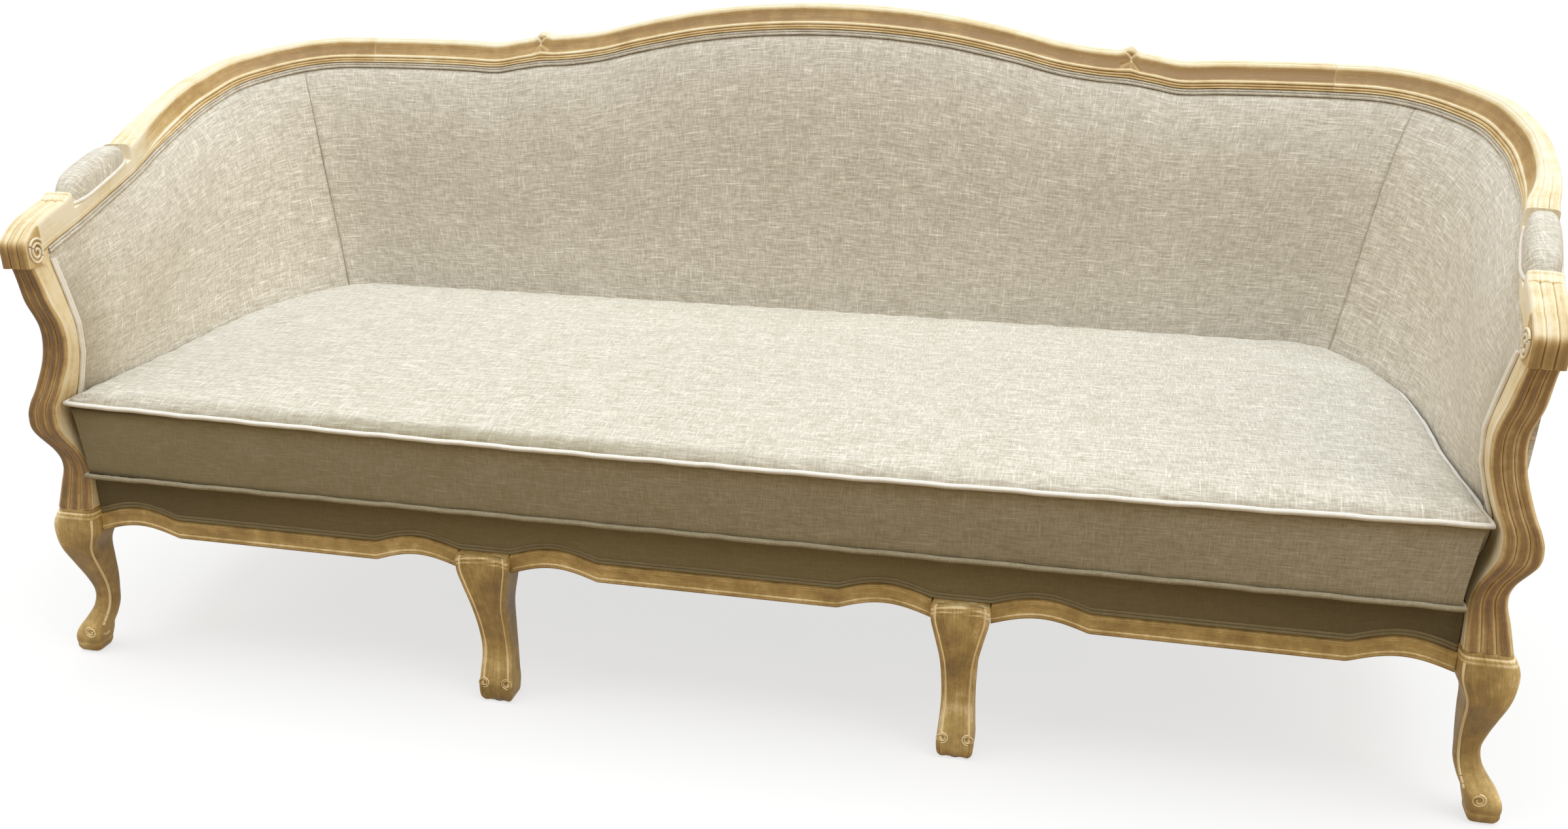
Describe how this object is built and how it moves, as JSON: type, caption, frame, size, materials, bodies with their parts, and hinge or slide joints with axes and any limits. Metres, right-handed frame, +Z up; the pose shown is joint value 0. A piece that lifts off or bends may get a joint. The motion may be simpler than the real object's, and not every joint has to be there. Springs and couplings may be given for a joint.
{
  "type": "sofa",
  "caption": "Show-wood cabriole sofa with a carved serpentine crest, padded back and arms in one sweep, reeded arm posts, cabriole legs and a loose piped bench cushion.",
  "frame": {"origin": "on the floor under the middle of the sofa's bounding box", "axes": "+X to the right as seen from the front, +Y from the seat's front to the back, +Z up"},
  "size_m": [2.3918, 0.926, 1.033],
  "materials": {
    "limed_oak": "limed, waxed",
    "limed_oak_dark": "limed, waxed",
    "beech": "plain",
    "linen": "slubby weave",
    "linen_cover": "slubby weave",
    "foam": "matte",
    "webbing": "woven",
    "dust_cloth": "matte",
    "zip_tape": "woven",
    "steel": "bright",
    "glide_plastic": "matte"
  },
  "bodies": {
    "frame": {"crest_rail": "limed_oak", "wing_rail_left": "limed_oak", "wing_rail_right": "limed_oak", "arm_rail_left": "limed_oak", "arm_rail_right": "limed_oak", "arm_post_left": "limed_oak", "arm_post_right": "limed_oak", "front_corner_leg_left": "limed_oak_dark", "front_corner_leg_right": "limed_oak_dark", "front_mid_leg_left": "limed_oak_dark", "front_mid_leg_right": "limed_oak_dark", "rear_corner_leg_left": "limed_oak_dark", "rear_corner_leg_right": "limed_oak_dark", "rear_mid_leg_left": "limed_oak_dark", "rear_mid_leg_right": "limed_oak_dark", "foot_glides": "glide_plastic", "front_rail_left": "limed_oak_dark", "front_rail_center": "limed_oak_dark", "front_rail_right": "limed_oak_dark", "side_seat_rail_left": "limed_oak_dark", "side_seat_rail_right": "limed_oak_dark", "rear_seat_rails": "limed_oak_dark", "seat_cross_rails": "beech", "corner_blocks": "beech", "block_screws": "steel", "frame_dowels": "beech", "back_uprights": "beech", "side_uprights": "beech", "back_stretchers": "beech", "back_webbing": "webbing", "seat_springs": "steel", "spring_clips": "steel", "deck_pad": "foam", "deck_cloth": "linen_cover", "deck_border": "linen_cover", "deck_welt": "linen", "dust_cover": "dust_cloth", "back_pad": "linen", "side_pad_left": "linen", "side_pad_right": "linen", "back_welt": "linen", "post_welts": "linen", "outer_back_cover": "linen_cover", "outer_side_cover_left": "linen_cover", "outer_side_cover_right": "linen_cover", "arm_pad_left": "linen", "arm_pad_right": "linen"},
    "seat_cushion": {"cushion_case": "linen", "cushion_core": "foam", "cushion_piping_top": "linen", "cushion_piping_bottom": "linen", "cushion_zip": "zip_tape"},
    "zip_slider": {"zip_slider": "steel"}
  },
  "joints": [
    {"name": "cushion_pull", "type": "slide", "parent": "frame", "child": "seat_cushion", "axis": [0, -1, 0], "range_m": [0, 0.78]},
    {"name": "zip_slide", "type": "slide", "parent": "seat_cushion", "child": "zip_slider", "axis": [-1, 0, 0], "range_m": [0, 1.2]}
  ]
}
